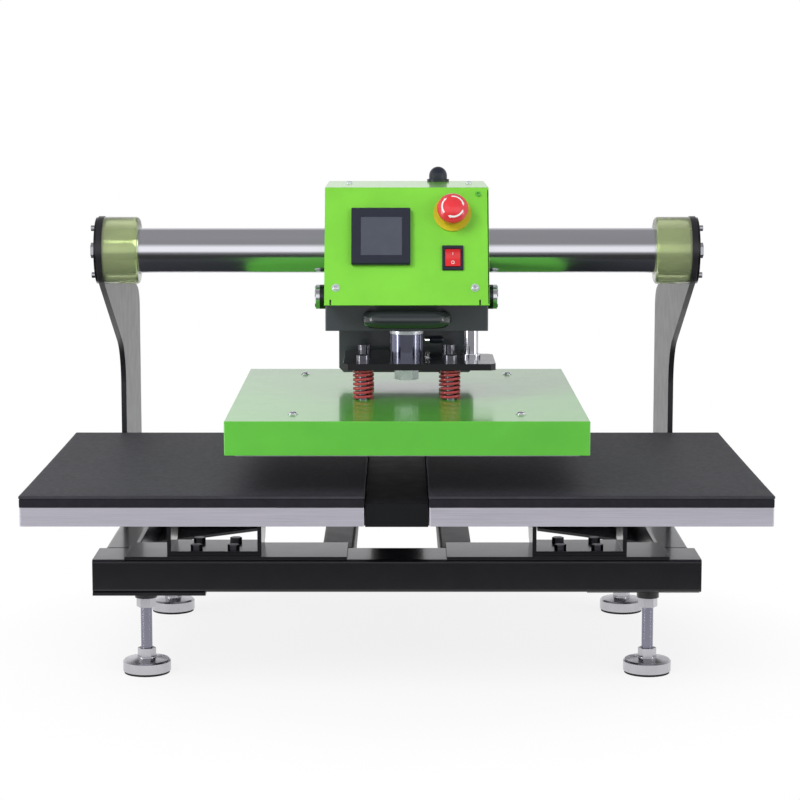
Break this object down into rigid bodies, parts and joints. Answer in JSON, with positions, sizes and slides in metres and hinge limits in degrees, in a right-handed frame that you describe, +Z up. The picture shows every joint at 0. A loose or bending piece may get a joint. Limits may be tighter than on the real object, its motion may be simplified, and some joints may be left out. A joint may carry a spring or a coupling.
{
  "type": "dual station heat press",
  "caption": "Air-operated heat press whose pressing head slides along a cross tube between a left and a right lower platen.",
  "frame": {"origin": "centre of the bounding box's footprint, on the floor under the soles", "axes": "+X to the right across the stations, +Y from the front to the back, +Z up"},
  "size_m": [0.878, 0.696, 0.6297],
  "materials": {
    "frame_paint": "gloss black",
    "centre_paint": "satin black",
    "dark_steel": "dark",
    "green_paint": "gloss",
    "chrome": "polished",
    "aluminium": "brushed",
    "pad_rubber": "matte",
    "bumper_rubber": "satin",
    "bronze": "satin",
    "spring_paint": "satin",
    "insulation": "felt",
    "black_plastic": "satin",
    "screen": "gloss",
    "stop_yellow": "gloss",
    "stop_red": "gloss",
    "rocker_red": "gloss",
    "foot_steel": "zinc plated",
    "sole_rubber": "matte"
  },
  "bodies": {
    "base": {"front_rail": "frame_paint", "rear_rail": "frame_paint", "side_rails": "frame_paint", "centre_rails": "frame_paint", "mounting_plates": "frame_paint", "foot_plates": "frame_paint", "foot_lock_nuts": "foot_steel", "guide_tube": "chrome", "tube_end_plugs": "dark_steel", "anti_turn_rod": "chrome", "tube_end_caps": "frame_paint", "tube_end_bolts": "dark_steel", "bumpers": "bumper_rubber", "platen_brackets": "frame_paint", "frame_bolts": "dark_steel", "lower_platens": "aluminium", "platen_pads": "pad_rubber", "centre_cover": "centre_paint", "left_side_plate": "frame_paint", "right_side_plate": "frame_paint"},
    "carriage": {"head_beam": "frame_paint", "box_shell": "green_paint", "front_panel": "green_paint", "bearing_housings": "frame_paint", "guide_bushes": "bronze", "rod_guide_block": "frame_paint", "tie_collars": "dark_steel", "tie_caps": "chrome", "handle": "frame_paint", "back_plate": "frame_paint", "air_cylinder": "aluminium", "screen_unit": "black_plastic", "screen_glass": "screen", "stop_base": "stop_yellow", "switch_frame": "black_plastic", "cable_gland": "black_plastic"},
    "ram": {"piston_rod": "chrome", "rod_nut": "dark_steel", "ram_coupler": "chrome", "plate_nut": "dark_steel", "spring_plate": "frame_paint", "guide_rod": "chrome", "springs": "spring_paint"},
    "heat_platen": {"shoulder_bolts": "dark_steel", "heat_block": "aluminium", "insulation": "insulation", "heat_cover": "green_paint"},
    "stop_stem": {"stop_stem": "frame_paint"},
    "stop_head": {"stop_head": "stop_red"},
    "rocker": {"rocker": "rocker_red"},
    "front_left_foot": {"front_left_foot": "foot_steel", "front_left_sole": "sole_rubber"},
    "front_right_foot": {"front_right_foot": "foot_steel", "front_right_sole": "sole_rubber"},
    "rear_left_foot": {"rear_left_foot": "foot_steel", "rear_left_sole": "sole_rubber"},
    "rear_right_foot": {"rear_right_foot": "foot_steel", "rear_right_sole": "sole_rubber"}
  },
  "joints": [
    {"name": "carriage_slide", "type": "slide", "parent": "base", "child": "carriage", "axis": [1, 0, 0], "range_m": [-0.2387, 0.2147]},
    {"name": "press_stroke", "type": "slide", "parent": "carriage", "child": "ram", "axis": [0, 0, 1], "range_m": [-0.045, 0], "stiffness_N_per_m": 3000, "springref_m": 0.12},
    {"name": "platen_float", "type": "slide", "parent": "ram", "child": "heat_platen", "axis": [0, 0, 1], "range_m": [0, 0.006], "stiffness_N_per_m": 30000, "springref_m": -0.002, "deforming": ["springs"]},
    {"name": "stop_push", "type": "slide", "parent": "carriage", "child": "stop_stem", "axis": [0, 0.9263, -0.3767], "range_m": [0, 0.004], "stiffness_N_per_m": 400, "springref_m": -0.004},
    {"name": "stop_twist", "type": "hinge", "parent": "stop_stem", "child": "stop_head", "pos_m": [0.067, -0.18355, 0.57983], "axis": [0, 0.9263, -0.3767], "range_deg": [0, 45], "stiffness_Nm_per_rad": 0.3, "springref_deg": -5.73},
    {"name": "rocker_tilt", "type": "hinge", "parent": "carriage", "child": "rocker", "pos_m": [0.0672, -0.20484, 0.52749], "axis": [1, 0, 0], "range_deg": [-16, 0]},
    {"name": "front_left_level", "type": "slide", "parent": "base", "child": "front_left_foot", "axis": [0, 0, 1], "range_m": [-0.012, 0.01]},
    {"name": "front_right_level", "type": "slide", "parent": "base", "child": "front_right_foot", "axis": [0, 0, 1], "range_m": [-0.012, 0.01]},
    {"name": "rear_left_level", "type": "slide", "parent": "base", "child": "rear_left_foot", "axis": [0, 0, 1], "range_m": [-0.012, 0.01]},
    {"name": "rear_right_level", "type": "slide", "parent": "base", "child": "rear_right_foot", "axis": [0, 0, 1], "range_m": [-0.012, 0.01]}
  ]
}
